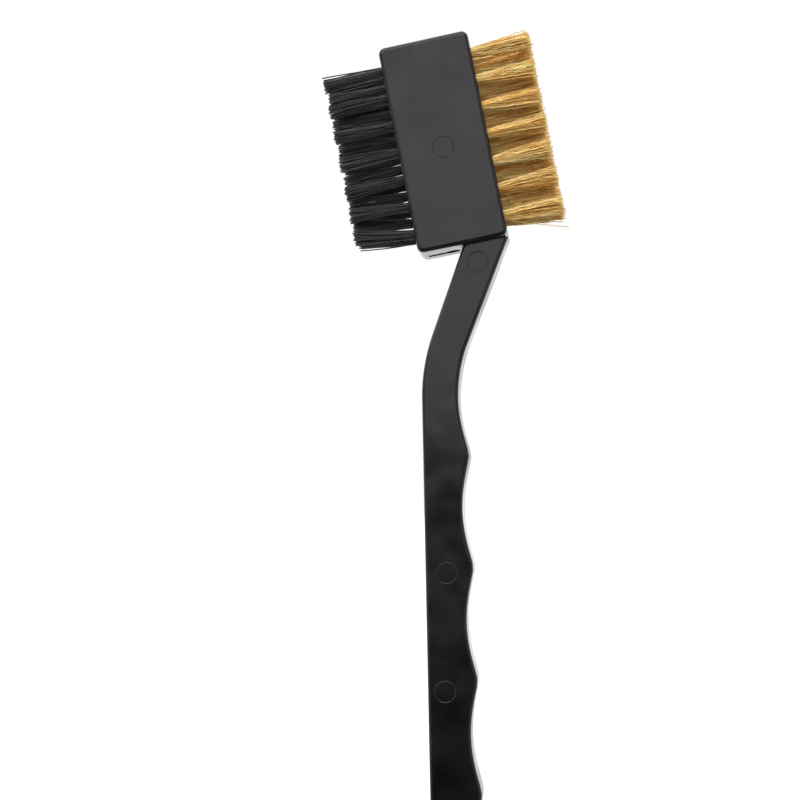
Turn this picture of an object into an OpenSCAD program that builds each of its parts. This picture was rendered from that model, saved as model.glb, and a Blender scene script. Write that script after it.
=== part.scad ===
// Two-sided groove brush: one moulded head and handle, with nylon tufts on one side and brass wire
// tufts on the other, each tuft held in a blind hole by a flat metal anchor.
// Millimetres. +Z runs up the grip towards the head, +X points to the brass side and -Y is the front.
// The origin is the centre of the hang hole.

/* [Head] */
// Width of the head, from brush face to brush face
head_w = 20; // [18:0.5:26]
// Length of the head, along the rows of tufts
head_l = 46; // [44:0.5:56]
// Thickness of the head, front to back
head_t = 14; // [13:0.5:18]
// Lean of the head away from the brass side, in degrees
head_lean = 10; // [0:0.5:14]
// Radius of the head's four corners
head_corner_r = 1.5; // [1.2:0.1:3]
// Rounding of the edges round the front and back faces
edge_r = 0.9; // [0.4:0.1:1]
// Slope that lets the moulding leave its mould, in degrees
draft = 0.8; // [0.2:0.1:1.5]

/* [Handle] */
// Thickness of the handle, front to back
handle_t = 10; // [8:0.5:12]
// Width of the handle at the bend
bend_w = 8.05; // [7.5:0.05:10]
// Radius of the bend on its inner side
bend_r = 33; // [25:1:50]
// Height of the start of the bend above the hang hole
bend_z = 92.6; // [90:0.1:100]
// Lean of the neck towards the brass side, in degrees
neck_lean = 21.3; // [17:0.1:24]
// Half of the angle by which the neck widens towards the head, in degrees
neck_flare = 0.9; // [0:0.1:2]
// Length of the straight edge of the neck on the brass side
neck_l = 24.4; // [20:0.1:32]

/* [Grip] */
// Distance from one finger ridge to the next
ridge_pitch = 24.2; // [23:0.1:25]
// Depth of the finger grooves
groove_depth = 2.1; // [1:0.1:3]
// How sharply a ridge is rounded, as a fraction of the groove's depth
ridge_round = 0.1; // [0.05:0.01:0.3]
// How much wider the grip gets over each ridge pitch towards its end
grip_taper = 0.4; // [0:0.1:0.6]
// Radius of the rounded end of the grip
butt_r = 5.2; // [4.8:0.1:6]
// Diameter of the hang hole
hang_hole_d = 5; // [3:0.1:6]

/* [Tufts] */
// Distance from one tuft to the next in a row
tuft_pitch = 6.1; // [5.5:0.05:6.2]
// Distance from the middle row to the front and back rows
row_gap = 4; // [3.6:0.1:4.4]
// Diameter of a tuft where it leaves the head
root_d = 2.4; // [2:0.1:2.6]
// Diameter of a tuft at its tip
tip_d = 4.2; // [2.8:0.1:4.4]
// Depth of a tuft hole
hole_depth = 7; // [5:0.5:8]
// Free length of the nylon tufts
nylon_l = 13; // [8:0.5:16]
// Free length of the brass tufts
brass_l = 12.6; // [8:0.1:16]

/* [Anchors] */
// Width of an anchor, wider than its hole so that it bites into the walls
anchor_w = 2.9; // [2.8:0.05:3.2]
// Height of an anchor, along the hole
anchor_h = 1.6; // [1:0.1:2]
// Thickness of an anchor
anchor_t = 0.35; // [0.2:0.05:0.5]

/* [Hidden] */
$fn = 48;
SIDES = ["nylon", "brass"];
// Each row of tufts: its name, its place from front to back and its number of tufts
ROWS = [["front", -row_gap, 7], ["middle", 0, 6], ["back", row_gap, 7]];
// Each tuft: its name, its place from front to back and its place up the head
TUFTS = [
    for (row = ROWS) for (i = [1 : row[2]])
        [str(row[0], "_", i), row[1], ((row[2] + 1) / 2 - i) * tuft_pitch]
];
function tuft_name(side, tuft) = str(side, "_tuft_", tuft[0]);

hole_clearance = 0.05;
fold_h = 0.7;                    // tuft material folded under its anchor
edge_steps = 4;                  // steps round a quarter of an edge
corner_steps = 6;                // steps round one corner of the head
butt_step = 12;                  // degrees between points round the end of the grip
grip_steps = 48;                 // steps up the grip
bend_steps = 8;                  // steps round the bend
end_ridges = 3;                  // ridge pitches from the first finger ridge to the last one
ring_r = 2.4;                    // pin marks left in the front faces by the mould
ring_w = 0.24;
ring_h = 0.065;
head_pin_z = -1.3;               // pin mark's height from the head's centre
neck_pin_drop = 7;               // pin mark's distance down the neck
GRIP_PINS = [[-0.5, 47.4], [-1.4, 22]];    // pin marks on the grip: X, and height above the last ridge
gate_slot = [5.4, 2.4, 0.5];     // shallow slot in the lower end of the head
gate_slot_at = [-5.4, 0.8];      // its place from the head's centre: across, and front to back
gate_pit_r = 1.8;                // pit at the slot's inner end, where the plastic entered the mould
gate_pit_h = 0.8;
over = 1;                        // how far a hole is cut past the face it opens in
eps = 0.01;

grip_side = -butt_r;                                // the grip's straight side
groove_top = grip_side + bend_w;                    // right side of the handle at the bend
bend_x = groove_top + bend_r;                       // centre of the bend
in_lean = neck_lean + neck_flare;
out_lean = neck_lean - neck_flare;
groove_h = groove_depth * (sqrt(1 + ridge_round * ridge_round) - ridge_round);
first_ridge_z = bend_z - ridge_pitch / 2;
last_ridge_z = first_ridge_z - end_ridges * ridge_pitch;
in_top = arc_point(bend_r, in_lean) + neck_l * [sin(in_lean), cos(in_lean)];
out_top = arc_point(bend_r + bend_w, out_lean) + neck_l * [sin(out_lean), cos(out_lean)];
neck_pin = (in_top + out_top) / 2 - neck_pin_drop * [sin(neck_lean), cos(neck_lean)];

function arc_point(r, a) = [bend_x - r * cos(a), bend_z + r * sin(a)];

// Side of the grip with the finger grooves: its distance from the grip's axis at a height
function ripple(z) = sqrt(pow(sin(180 * (z - first_ridge_z) / ridge_pitch), 2) + ridge_round * ridge_round);
function groove_x(z) =
    groove_top + groove_h + grip_taper * (bend_z - z) / ridge_pitch
    - groove_depth * (ripple(z) - ridge_round);

// The handle as rungs from the hang hole's end to the neck: each has a point on the grooved side and
// the one across from it on the straight side
function rungs() = concat(
    [
        for (a = [butt_step / 2 - 90 : butt_step : -butt_step])
            let (p = butt_r * [cos(a), sin(a)])
                [p, [-p[0], p[1]]]
    ],
    [
        for (i = [0 : grip_steps - 1])
            let (z = last_ridge_z + (end_ridges + 0.5) * ridge_pitch * i / grip_steps)
                [[groove_x(z), z], [grip_side, z]]
    ],
    [
        for (i = [0 : bend_steps])
            let (t = i / bend_steps)
                [arc_point(bend_r, t * in_lean), arc_point(bend_r + bend_w, t * out_lean)]
    ],
    [[in_top, out_top]]
);

// Corner points of the handle seen from the front, anticlockwise, up one side and down the other
function handle_outline() = let (r = rungs(), n = len(r)) concat(
    [for (i = [0 : n - 1]) r[i][0]],
    [for (i = [n - 1 : -1 : 0]) r[i][1]]
);

// Corner points of a rectangle with rounded corners, anticlockwise from the middle of its lower side
function rounded_box(w, l, r) = [
    for (q = [3 : 6]) for (i = [0 : corner_steps])
        let (a = 90 * (q + i / corner_steps), s = [q < 5 ? 1 : -1, q == 4 || q == 5 ? 1 : -1])
            [s[0] * (w / 2 - r) + r * cos(a), s[1] * (l / 2 - r) + r * sin(a)]
];

// Moves each point of an outline inwards, square to the outline
function inset(pts, d) = let (n = len(pts)) [
    for (i = [0 : n - 1])
        let (
            before = unit(pts[i] - pts[(i + n - 1) % n]),
            after = unit(pts[(i + 1) % n] - pts[i]),
            way = unit([-before[1] - after[1], before[0] + after[0]])
        )
            pts[i] + d * way / max(0.5, way * [-after[1], after[0]])
];
function unit(v) = v / norm(v);

// A plate cut to an outline in X and Z, drafted to both faces from its middle, with round edges. The
// outline's first half runs up one side and its second half comes down the other, point for point.
module plate(outline, t) {
    n = len(outline);
    face_draft = (t / 2 - edge_r) * tan(draft);
    round = [
        for (i = [0 : edge_steps])
            let (a = 90 * i / edge_steps)
                [t / 2 - edge_r * (1 - sin(a)), face_draft + edge_r * (1 - cos(a))]
    ];
    layers = concat(
        [for (i = [edge_steps : -1 : 0]) [-round[i][0], round[i][1]]],
        [[0, 0]],
        round
    );
    m = len(layers);
    points = [for (s = layers) for (p = inset(outline, s[1])) [p[0], s[0], p[1]]];
    sides = [
        for (k = [0 : m - 2]) for (i = [0 : n - 1])
            let (a = k * n + i, b = k * n + (i + 1) % n)
                each [[a, b, a + n], [b, b + n, a + n]]
    ];
    last = (m - 1) * n;
    faces = [
        for (i = [0 : n / 2 - 2])
            let (a = i, b = i + 1, c = n - 2 - i, d = n - 1 - i)
                each [[a, c, b], [a, d, c], [last + a, last + b, last + c], [last + a, last + c, last + d]]
    ];
    polyhedron(points, concat(sides, faces), convexity = 6);
}

// Places what is drawn in the head's own frame, centred in the head
module in_head() {
    translate([in_top[0], 0, in_top[1]])
        rotate([0, -head_lean, 0])
            translate([-head_w / 2, 0, head_l / 2])
                children();
}

// Places what is drawn along a tuft hole: +Z out of the hole, from the brush face
module at_tuft(side, tuft) {
    way = side == "brass" ? 1 : -1;
    in_head()
        translate([way * head_w / 2, tuft[1], tuft[2]])
            rotate([0, way * 90, 0])
                children();
}

// Ring left by a mould pin, a V-shaped groove in a front face at the given depth
module pin_mark(x, y, z) {
    translate([x, y - eps, z])
        rotate([-90, 0, 0])
            rotate_extrude()
                polygon([[ring_r - ring_w, 0], [ring_r, 0], [ring_r - ring_w / 2, ring_h]]);
}

// Slot and pit in the lower end of the head
module gate_mark() {
    translate([0, 0, gate_slot[2] / 2 - eps])
        cube(gate_slot, center = true);
    translate([gate_slot[0] / 2, 0, -eps])
        cylinder(r = gate_pit_r, h = gate_pit_h);
}

// Head and handle, one plastic moulding
module body() {
    color("#2b2b2d")
        difference() {
            union() {
                in_head()
                    plate(rounded_box(head_w, head_l, head_corner_r), head_t);
                plate(handle_outline(), handle_t);
            }
            rotate([90, 0, 0])
                cylinder(d = hang_hole_d, h = handle_t + 2 * over, center = true);
            for (side = SIDES) for (tuft = TUFTS)
                at_tuft(side, tuft) {
                    translate([0, 0, -hole_depth])
                        cylinder(d = root_d + 2 * hole_clearance, h = hole_depth + over);
                    translate([-anchor_w / 2, -anchor_t / 2, fold_h - hole_depth])
                        cube([anchor_w, anchor_t, hole_depth + over]);
                }
            in_head()
                translate([gate_slot_at[0], gate_slot_at[1], -head_l / 2])
                    gate_mark();
            in_head()
                pin_mark(0, -head_t / 2, head_pin_z);
            pin_mark(neck_pin[0], -handle_t / 2, neck_pin[1]);
            for (pin = GRIP_PINS)
                pin_mark(pin[0], -handle_t / 2, last_ridge_z + pin[1]);
        }
}

// One tuft: the round bundle in its hole and its spreading free length
module tuft(side, t, free_l) {
    at_tuft(side, t)
        difference() {
            rotate_extrude()
                polygon([
                    [0, -hole_depth],
                    [root_d / 2, -hole_depth],
                    [root_d / 2, 0],
                    [tip_d / 2, free_l],
                    [0, free_l]
                ]);
            anchor();
        }
}

// The strip of metal that holds one tuft down in its hole
module anchor() {
    translate([-anchor_w / 2, -anchor_t / 2, fold_h - hole_depth])
        cube([anchor_w, anchor_t, anchor_h]);
}

module nylon_tuft(t) {
    color("#1b1b1e")
        tuft("nylon", t, nylon_l);
}

module brass_tuft(t) {
    color("#c9a24c")
        tuft("brass", t, brass_l);
}

module anchors(side) {
    color("#b9bbbe")
        for (t = TUFTS)
            at_tuft(side, t)
                anchor();
}

body();
anchors("nylon");  // nylon_tuft_anchors
anchors("brass");  // brass_tuft_anchors
for (t = TUFTS) {
    nylon_tuft(t);
    brass_tuft(t);
}
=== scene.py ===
"""Looks of the two-sided groove brush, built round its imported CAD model.

The moulded body and the tuft anchors keep their CAD shapes. Each CAD tuft is replaced by its real
filaments: each one goes down into its hole, turns under the anchor and comes back up.
"""

import math
from collections import namedtuple

import bpy
import numpy as np
from mathutils import Matrix, Vector


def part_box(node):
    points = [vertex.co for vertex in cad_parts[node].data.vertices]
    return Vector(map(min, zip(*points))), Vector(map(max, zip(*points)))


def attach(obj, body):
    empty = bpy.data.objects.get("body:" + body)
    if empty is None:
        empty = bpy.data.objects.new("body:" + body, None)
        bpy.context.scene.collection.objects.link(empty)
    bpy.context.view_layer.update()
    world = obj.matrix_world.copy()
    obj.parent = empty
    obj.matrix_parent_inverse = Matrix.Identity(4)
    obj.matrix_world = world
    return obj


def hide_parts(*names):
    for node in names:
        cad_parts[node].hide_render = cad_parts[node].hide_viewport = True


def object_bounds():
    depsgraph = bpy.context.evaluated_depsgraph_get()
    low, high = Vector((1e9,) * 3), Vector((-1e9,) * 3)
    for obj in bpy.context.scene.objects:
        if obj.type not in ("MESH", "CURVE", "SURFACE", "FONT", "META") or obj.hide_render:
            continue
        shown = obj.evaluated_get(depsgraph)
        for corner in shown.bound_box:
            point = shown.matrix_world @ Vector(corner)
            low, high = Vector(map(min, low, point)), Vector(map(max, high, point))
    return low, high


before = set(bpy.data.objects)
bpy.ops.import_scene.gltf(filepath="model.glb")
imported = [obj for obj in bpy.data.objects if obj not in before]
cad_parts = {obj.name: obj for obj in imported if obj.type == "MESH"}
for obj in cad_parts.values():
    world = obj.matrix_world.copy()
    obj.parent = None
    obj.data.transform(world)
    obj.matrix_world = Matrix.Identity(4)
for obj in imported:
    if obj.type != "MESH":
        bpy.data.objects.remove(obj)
cad_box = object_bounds()

SEED = 20
MM = 0.001

# Camera, placed from the hang hole, which is the frame's origin
AIM = Vector((-10.3, 0, 93)) * MM
DISTANCE = 395 * MM
AZIMUTH, ELEVATION, ROLL = 5.36, -2.97, -1.15
LENS = 81

# What a tuft's filaments are like. Lengths are in metres.
Bristle = namedtuple("Bristle", (
    "slot",
    "radius",
    "ends",             # tips in a tuft
    "clumps", "cling",  # clumps in a tuft, and how much the filaments of a clump draw together
    "steps", "sides",   # of a filament's mesh, along it and round it
    "packed",           # width of the tuft at its hole's mouth, as a share of the CAD tuft's
    "spread", "flare",  # the same at its tip, and the power by which it widens on the way
    "jitter", "bow",    # how far single filaments are off at their tips and half way up
    "uneven", "tilt",   # of the tips: random, and as a slope across the tuft
    "wave", "wave_length",
    "strays",           # share of the filaments that stick out
))
NYLON = Bristle(
    slot="nylon_bristle", radius=0.14 * MM, ends=46, clumps=9, cling=0.3, steps=10, sides=6,
    packed=0.96, spread=0.98, flare=1.1, jitter=0.22 * MM, bow=0.12 * MM, uneven=0.14 * MM,
    tilt=0.12, wave=0.03 * MM, wave_length=9 * MM, strays=0,
)
BRASS = Bristle(
    slot="brass_wire", radius=0.085 * MM, ends=150, clumps=15, cling=0.45, steps=18, sides=5,
    packed=1.0, spread=1.0, flare=0.95, jitter=0.3 * MM, bow=0.16 * MM, uneven=0.25 * MM,
    tilt=0.05, wave=0.09 * MM, wave_length=3.1 * MM, strays=0.02,
)
STRAY_JITTER = 5
STRAY_EXTRA = 0.4 * MM           # how much further a stray filament sticks out
RADIUS_RANGE = (0.92, 1.06)      # of a filament, against its make's radius

# How far the nylon tufts have been bent upwards by use, from the top ones down, in degrees
NYLON_LEANS = (-2, -1, 0, 0, -3, 3, 9)
LEAN_SPREAD = 0.8

WAVE_START = 0.25                # share of a filament's length over which its waves set in
CLING_END = 0.75                 # clumps are tightest short of their tips: a sine's phase at the tips
BEND_POWER = 1.2                 # a bent tuft's curve

# Where the filaments turn round their anchor
ANCHOR_CLEAR = 0.2 * MM          # from the middle of the anchor to the filaments beside it
FOLD_ROOM = 0.7 * MM             # from the anchor to the bottom of its hole
SPLIT_AT = 0.3                   # share of the hole's depth at which they part round the anchor
PINCH = 0.92                     # width of the fold against the tuft's
FOLD_SAG = 0.4                   # how much lower the outer filaments pass under the anchor

# A CAD tuft: the centre of its hole's mouth, its directions, and its sizes
Tuft = namedtuple("Tuft", "mouth out up mouth_r tip_r length depth")
LEVEL = 0.05 * MM                # points whose heights differ by less are at one level
WIDER = 1.02                     # a ring of points this much wider than the hole is on the cone

# Shading of the moulded body
WELD_GAP = 0.002 * MM
SHARP_ANGLE = 25

# Studio: distances in metres, and brightness against the white that the camera sees
FLOOR_R = 6
BEHIND, CEILING, BESIDE, DARK = 1.4, 1.6, 0.6, 0.05
CEILING_LEAN = -0.25             # how much more of the ceiling hangs over the left side
SOFTBOX_LEVEL = 1.3
SOFTBOX_X, SOFTBOX_Y = -0.03, -0.45
SOFTBOX_W = 0.6
SOFTBOX_LOW, SOFTBOX_HIGH = 0.097, 0.7


# ---------------------------------------------------------------- nodes

def add(tree, kind, inputs=None, **settings):
    """Adds a node. Each of inputs is a plain value, or another node's output to link."""
    made = tree.nodes.new("ShaderNode" + kind)
    for name, value in settings.items():
        setattr(made, name, value)
    for name, value in (inputs or {}).items():
        if isinstance(value, bpy.types.NodeSocket):
            tree.links.new(value, made.inputs[name])
        else:
            made.inputs[name].default_value = value
    return made


def maths(tree, operation, *values):
    return add(tree, "Math", dict(enumerate(values)), operation=operation).outputs[0]


def weighted(tree, first, weight, second, other_weight):
    """The sum of two values times their weights."""
    part = maths(tree, "MULTIPLY", first, weight)
    return maths(tree, "ADD", part, maths(tree, "MULTIPLY", second, other_weight))


def ramp(tree, value, low, high, to_low=0.0, to_high=1.0):
    """value smoothly mapped from low..high to to_low..to_high."""
    mapped = {"Value": value, "From Min": low, "From Max": high, "To Min": to_low, "To Max": to_high}
    return add(tree, "MapRange", mapped, interpolation_type="SMOOTHSTEP").outputs["Result"]


def colours(tree, value, stops):
    """A colour ramp through stops, each a position and an RGB colour."""
    made = add(tree, "ValToRGB", {"Fac": value})
    elements = made.color_ramp.elements
    while len(elements) < len(stops):
        elements.new(0.5)
    for element, (position, rgb) in zip(elements, stops):
        element.position = position
        element.color = (*rgb, 1)
    return made.outputs["Color"]


def noise(tree, vector, scale, detail=2.0, rough=0.5):
    wanted = {"Vector": vector, "Scale": scale, "Detail": detail, "Roughness": rough}
    return add(tree, "TexNoise", wanted).outputs["Fac"]


def bump(tree, height, distance, strength=1.0, normal=None):
    wanted = {"Height": height, "Distance": distance, "Strength": strength}
    if normal is not None:
        wanted["Normal"] = normal
    return add(tree, "Bump", wanted).outputs["Normal"]


def material(name):
    """A new node material, its shader, and its coordinates in metres in the row's frame."""
    made = bpy.data.materials.new(name)
    made.use_nodes = True
    tree = made.node_tree
    return made, tree, tree.nodes["Principled BSDF"], add(tree, "TexCoord").outputs["Object"]


def finish_shader(tree, shader, **links):
    names = {"colour": "Base Color", "roughness": "Roughness", "normal": "Normal"}
    for key, socket in links.items():
        tree.links.new(socket, shader.inputs[names[key]])


# ---------------------------------------------------------------- materials

def moulded_plastic():
    """Satin black polypropylene: fine grain, shallow sink marks, soft patches where the plastic
    flowed, and the mould's parting line."""
    made, tree, shader, at = material("moulded_plastic_satin")
    sinks = noise(tree, at, 95, 1.0)
    grain = noise(tree, at, 3000, 3.0, 0.6)
    flow = noise(tree, at, 260, 4.0, 0.55)
    gloss = noise(tree, at, 110, 2.0, 0.4)
    patches = weighted(tree, gloss, 0.7, flow, 0.3)
    side = add(tree, "SeparateXYZ", {"Vector": at}).outputs["Y"]
    seam = ramp(tree, maths(tree, "ABSOLUTE", side), 0.03 * MM, 0.12 * MM, 1, 0)
    normal = bump(tree, sinks, 0.2 * MM)
    normal = bump(tree, grain, 0.003 * MM, 0.6, normal)
    normal = bump(tree, seam, 0.06 * MM, 1.0, normal)
    finish_shader(
        tree, shader,
        colour=colours(tree, patches, [(0.3, (0.001, 0.001, 0.001)), (0.7, (0.0085, 0.0085, 0.0086))]),
        roughness=ramp(tree, gloss, 0.32, 0.68, 0.16, 0.28),
        normal=normal,
    )
    shader.inputs["Specular IOR Level"].default_value = 0.5
    return made


def nylon():
    """Extruded black nylon filament, a little waxy, each with its own depth of black."""
    made, tree, shader, at = material("nylon_filament_black")
    own = add(tree, "Attribute", attribute_name="strand").outputs["Fac"]
    streak = noise(tree, at, 1400, 3.0)
    finish_shader(
        tree, shader,
        colour=colours(tree, own, [(0.1, (0.004, 0.004, 0.0045)), (0.9, (0.036, 0.035, 0.036))]),
        roughness=ramp(tree, streak, 0.3, 0.7, 0.36, 0.5),
        normal=bump(tree, streak, 0.01 * MM, 0.5),
    )
    shader.inputs["Specular IOR Level"].default_value = 0.5
    return made


def brass():
    """Drawn brass wire: bright where it is fresh, browner where it has begun to tarnish."""
    made, tree, shader, at = material("brass_wire_drawn")
    own = add(tree, "Attribute", attribute_name="strand").outputs["Fac"]
    tarnish = noise(tree, at, 420, 3.0, 0.6)
    mixed = weighted(tree, own, 0.6, tarnish, 0.5)
    drawn = noise(tree, at, 3800, 2.0)
    finish_shader(
        tree, shader,
        colour=colours(tree, mixed, [
            (0.25, (0.74, 0.37, 0.08)), (0.5, (0.91, 0.62, 0.22)), (0.8, (0.96, 0.81, 0.39)),
        ]),
        roughness=ramp(tree, drawn, 0.3, 0.7, 0.38, 0.52),
        normal=bump(tree, drawn, 0.006 * MM, 0.5),
    )
    shader.inputs["Metallic"].default_value = 1.0
    return made


def anchor_steel():
    """Thin zinc-plated strip, rolled along its length, with a faint spangle."""
    made, tree, shader, at = material("anchor_steel_strip")
    spangle = add(tree, "TexVoronoi", {"Vector": at, "Scale": 1500.0}).outputs["Color"]
    rolled = noise(tree, at, 4200, 4.0)
    finish_shader(
        tree, shader,
        colour=colours(tree, spangle, [(0, (0.50, 0.51, 0.52)), (1, (0.66, 0.67, 0.68))]),
        roughness=ramp(tree, rolled, 0.3, 0.7, 0.28, 0.45),
        normal=bump(tree, rolled, 0.004 * MM, 0.6),
    )
    shader.inputs["Metallic"].default_value = 1.0
    return made


def floor_paint():
    """Pale matt paint with a hardly visible mottle."""
    made, tree, shader, at = material("floor_pale")
    mottle = noise(tree, at, 14, 3.0)
    finish_shader(
        tree, shader,
        colour=colours(tree, mottle, [(0.3, (0.93, 0.93, 0.93)), (0.7, (0.95, 0.95, 0.95))]),
        roughness=ramp(tree, mottle, 0.3, 0.7, 0.7, 0.8),
    )
    return made


# ---------------------------------------------------------------- filaments

def middle_of(node):
    low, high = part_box(node)
    return (low + high) / 2


def read_tuft(node, out, up):
    """Size and place of a CAD tuft, whose free length is a cone from its hole's mouth to its tip."""
    points = np.array([v.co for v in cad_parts[node].data.vertices])
    along = points @ out
    tip, bottom = along.max(), along.min()
    at_tip = points[along > tip - LEVEL]
    middle = (at_tip.min(0) + at_tip.max(0)) / 2
    away = np.linalg.norm(np.cross(points - middle, out), axis=1)
    mouth_r = away[along < bottom + LEVEL].max()
    widening = along[away > WIDER * mouth_r].min()
    mouth = along[along < widening - LEVEL].max()
    return Tuft(middle - out * (middle @ out - mouth), out, up, mouth_r, away.max(),
                tip - mouth, mouth - bottom)


def spots(count, reach):
    """count points spread evenly over a disc."""
    i = np.arange(count)
    r = reach * np.sqrt((i + 0.5) / count)
    angle = i * math.pi * (3 - math.sqrt(5))
    return np.stack([r * np.cos(angle), r * np.sin(angle)], axis=1)


def free_part(tuft, make, root, home, bend, tilt, rng):
    """One filament from its hole's mouth to its tip, as points across, front to back and out. It
    starts at root, and home is where the middle of its clump starts."""
    t = np.linspace(0, 1, make.steps + 1)
    stray = rng.random() < make.strays
    widening = make.spread * tuft.tip_r / (make.packed * tuft.mouth_r) - 1
    fan = root * widening + rng.normal(0, make.jitter, 2) * (STRAY_JITTER if stray else 1)
    length = tuft.length + rng.normal(0, make.uneven) + tilt * fan[0] + STRAY_EXTRA * stray
    turn, phase = rng.uniform(0, 2 * math.pi, 2)
    wave = make.wave * np.sin(2 * math.pi * t * length / make.wave_length + phase)
    wave = wave * np.minimum(1, t / WAVE_START)
    bow = np.outer(rng.normal(0, make.bow, 2), np.sin(math.pi * t))
    cling = make.cling * np.sin(CLING_END * math.pi * t) * (1 + widening * t ** make.flare)
    path = root[:, None] + np.outer(fan, t ** make.flare) + bow
    path = path + np.outer((math.cos(turn), math.sin(turn)), wave) + np.outer(home - root, cling)
    across, deep = path
    across = across + length * math.tan(math.radians(bend)) * t ** BEND_POWER
    return np.stack([across, deep, length * t], axis=1)


def held_part(tuft, make, root):
    """The filament's way down one side of its anchor, under it and up the other side."""
    across, deep = root[0] * PINCH, root[1]
    gap = ANCHOR_CLEAR + make.radius
    beside = gap + deep * (1 - gap / tuft.mouth_r)
    anchor_end = FOLD_ROOM - tuft.depth
    under = anchor_end - make.radius - FOLD_SAG * deep
    way = [(root[0], deep, -SPLIT_AT * tuft.depth), (across, beside, anchor_end)]
    back = [(x, -y, z) for x, y, z in reversed(way)]
    return np.array([*way, (across, 0, under), *back])


def filaments(tuft, make, bend, rng):
    """A tuft's filaments: their centre lines, each from tip to tip, and the clump each is in."""
    reach = make.packed * tuft.mouth_r - make.radius
    tilt = rng.normal(0, make.tilt)
    homes = spots(make.clumps, reach)
    mirrored = np.array((1, -1))
    lines, clumps = [], []
    for root in spots(make.ends, reach):
        if root[1] > 0:
            clump = np.linalg.norm(homes - root, axis=1).argmin()
            near = free_part(tuft, make, root, homes[clump], bend, tilt, rng)
            far = free_part(tuft, make, root * mirrored, homes[clump] * mirrored, bend, tilt, rng)
            lines.append(np.concatenate([near[::-1], held_part(tuft, make, root), far]))
            clumps.append(clump)
    local = np.array(lines)
    axes = np.array([tuft.up, (0, 1, 0), tuft.out])
    return tuft.mouth + local @ axes, clumps


def tubes(name, lines, make, up, rng):
    """A mesh of one closed tube round each line."""
    count, k, sides = lines.shape[0], lines.shape[1], make.sides
    along = np.gradient(lines, axis=1)
    along /= np.linalg.norm(along, axis=2, keepdims=True)
    first = np.cross(up, along)
    first /= np.linalg.norm(first, axis=2, keepdims=True)
    second = np.cross(along, first)
    angle = 2 * math.pi * np.arange(sides)[:, None] / sides
    radius = make.radius * rng.uniform(*RADIUS_RANGE, (count, 1, 1, 1))
    rings = first[:, :, None] * np.cos(angle) + second[:, :, None] * np.sin(angle)
    points = (lines[:, :, None] + radius * rings).reshape(-1, 3)

    start = (np.arange(count) * k * sides)[:, None, None]
    ring = start + (np.arange(k - 1) * sides)[None, :, None]
    here = np.arange(sides)[None, None, :]
    after = (here + 1) % sides
    quads = np.stack([ring + here, ring + after, ring + sides + after, ring + sides + here], axis=3)
    ends = np.concatenate([start[:, 0] + here[0, :, ::-1], start[:, 0] + (k - 1) * sides + here[0]])
    faces = quads.reshape(-1, 4).tolist() + ends.tolist()
    mesh = bpy.data.meshes.new(name)
    mesh.from_pydata(points, [], faces)
    smooth = [True] * (len(faces) - len(ends)) + [False] * len(ends)
    mesh.polygons.foreach_set("use_smooth", smooth)
    return mesh


def bristles(node, make, out, up, bend, surface):
    """Replaces one CAD tuft with its filaments. Each has a shade, partly shared by its clump."""
    rng = np.random.default_rng([SEED, *node.encode()])
    tuft = read_tuft(node, out, up)
    lines, clumps = filaments(tuft, make, bend, rng)
    name = node.replace("tuft", "filaments")
    mesh = tubes(name, lines, make, up, rng)
    shade = 0.5 * rng.random(make.clumps)[clumps] + 0.5 * rng.random(len(lines))
    shades = np.repeat(shade, lines.shape[1] * make.sides)
    mesh.attributes.new("strand", "FLOAT", "POINT").data.foreach_set("value", shades)
    mesh.materials.append(surface)
    piece = bpy.data.objects.new(name, mesh)
    bpy.context.scene.collection.objects.link(piece)
    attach(piece, "root")
    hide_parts(node)


def all_bristles():
    """Fills every tuft. The rows run up the head, and the brass tufts point out of it."""
    up = (middle_of("brass_tuft_front_1") - middle_of("brass_tuft_front_7")).normalized()
    out = Vector((up.z, 0, -up.x))
    rng = np.random.default_rng(SEED)
    for side, make, surface, way in (
        ("nylon", NYLON, nylon(), -out), ("brass", BRASS, brass(), out)
    ):
        for node in sorted(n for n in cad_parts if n.startswith(side + "_tuft_")):
            if not node.endswith("anchors"):
                row, place = node.split("_")[2:]
                bend = rng.normal(0, LEAN_SPREAD)
                if side == "nylon":
                    bend += NYLON_LEANS[int(place) - (row != "middle")]
                bristles(node, make, np.array(way), np.array(up), bend, surface)


# ---------------------------------------------------------------- body

def dress(node, surface):
    """Gives a CAD piece its material."""
    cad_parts[node].data.materials.clear()
    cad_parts[node].data.materials.append(surface)


def soften(node):
    """Shades a faceted CAD piece smoothly, with its sharp edges kept. Its mesh is left as it is."""
    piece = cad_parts[node]
    mesh = piece.data
    if "custom_normal" in mesh.attributes:
        mesh.attributes.remove(mesh.attributes["custom_normal"])
    mesh.polygons.foreach_set("use_smooth", [True] * len(mesh.polygons))
    weld = piece.modifiers.new("weld", "WELD")
    weld.merge_threshold = WELD_GAP
    split = piece.modifiers.new("split", "EDGE_SPLIT")
    split.split_angle = math.radians(SHARP_ANGLE)
    flatten = piece.modifiers.new("flatten", "WEIGHTED_NORMAL")
    flatten.mode, flatten.weight, flatten.keep_sharp = "FACE_AREA", 100, True


# ---------------------------------------------------------------- studio

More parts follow.
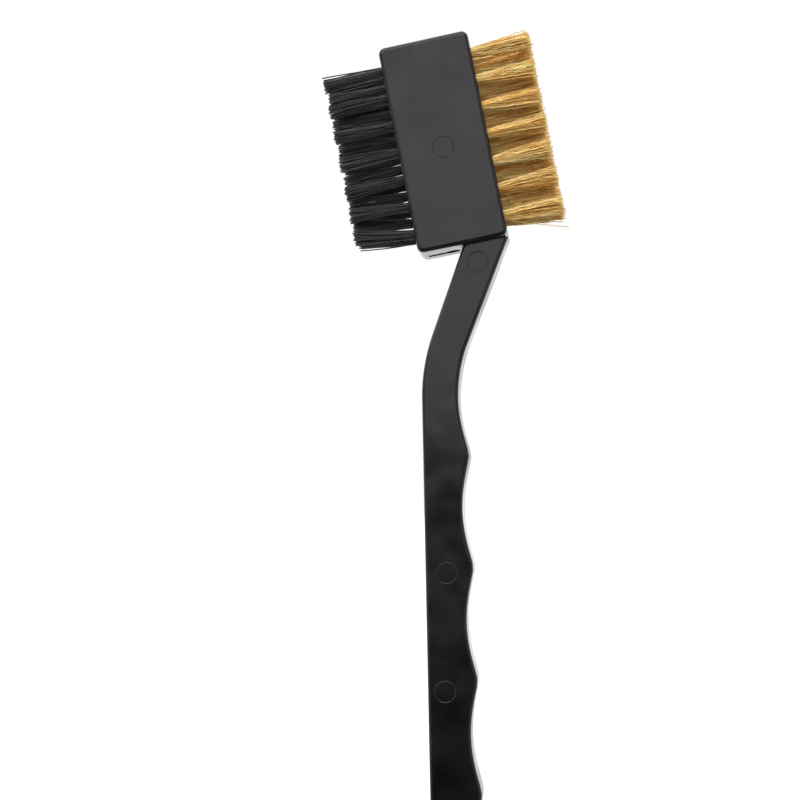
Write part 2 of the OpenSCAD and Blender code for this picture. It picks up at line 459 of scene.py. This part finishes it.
def studio_world():
    """White all round for the camera. What lights the brush is a white sweep behind, a ceiling,
    grey side walls and a dark front."""
    world = bpy.data.worlds.new("studio")
    bpy.context.scene.world = world
    world.use_nodes = True
    tree = world.node_tree
    tree.nodes.clear()
    way = add(tree, "SeparateXYZ", {"Vector": add(tree, "TexCoord").outputs["Generated"]}).outputs
    behind = ramp(tree, way["Y"], 0.1, 0.6, 0, BEHIND)
    upwards = weighted(tree, way["Z"], 1, way["X"], CEILING_LEAN)
    ceiling = ramp(tree, upwards, 0.3, 0.6, 0, CEILING)
    beside = ramp(tree, maths(tree, "ABSOLUTE", way["X"]), 0.45, 0.85, 0, BESIDE)
    level = DARK
    for part in (behind, ceiling, beside):
        level = maths(tree, "MAXIMUM", part, level)
    seen = add(tree, "LightPath").outputs["Is Camera Ray"]
    strength = add(tree, "Mix", {0: seen, 2: level, 3: 1.0}).outputs[0]
    light = add(tree, "Background", {"Color": (1, 1, 1, 1), "Strength": strength})
    tree.links.new(light.outputs[0], add(tree, "OutputWorld").inputs["Surface"])


def softbox():
    """A large lamp in front, which the camera doesn't see. The head and the neck mirror it, and the
    grip mirrors the dark below it."""
    lamp = bpy.data.lights.new("softbox", "AREA")
    lamp.shape, lamp.size, lamp.size_y = "RECTANGLE", SOFTBOX_W, SOFTBOX_HIGH - SOFTBOX_LOW
    lamp.energy = SOFTBOX_LEVEL * math.pi * lamp.size * lamp.size_y
    made = bpy.data.objects.new("softbox", lamp)
    made.location = (SOFTBOX_X, SOFTBOX_Y, (SOFTBOX_LOW + SOFTBOX_HIGH) / 2)
    made.rotation_euler = Vector((0, 1, 0)).to_track_quat("-Z", "Y").to_euler()
    made.visible_camera = False
    bpy.context.scene.collection.objects.link(made)


def floor():
    """A pale disc at the brush's lowest point, which the brush doesn't mirror."""
    place = (0, 0, cad_box[0].z)
    bpy.ops.mesh.primitive_circle_add(vertices=96, radius=FLOOR_R, fill_type="NGON", location=place)
    made = bpy.context.object
    made.name = "floor"
    made.visible_glossy = False
    made.data.materials.append(floor_paint())


def camera():
    """A camera turned to AZIMUTH and ELEVATION round AIM."""
    turn = (
        Matrix.Rotation(math.radians(AZIMUTH), 3, "Z")
        @ Matrix.Rotation(math.radians(90 - ELEVATION), 3, "X")
        @ Matrix.Rotation(math.radians(ROLL), 3, "Z")
    )
    lens = bpy.data.cameras.new("camera")
    lens.lens = LENS
    made = bpy.data.objects.new("camera", lens)
    made.matrix_world = Matrix.Translation(AIM + turn @ Vector((0, 0, DISTANCE))) @ turn.to_4x4()
    bpy.context.scene.collection.objects.link(made)
    bpy.context.scene.camera = made


bpy.context.scene.view_settings.view_transform = "Standard"
bpy.context.scene.cycles.glossy_bounces = 12    # light goes back and forth between the wires
camera()
studio_world()
softbox()
floor()
dress("body", moulded_plastic())
soften("body")
steel = anchor_steel()
for side in ("nylon", "brass"):
    dress(side + "_tuft_anchors", steel)
all_bristles()
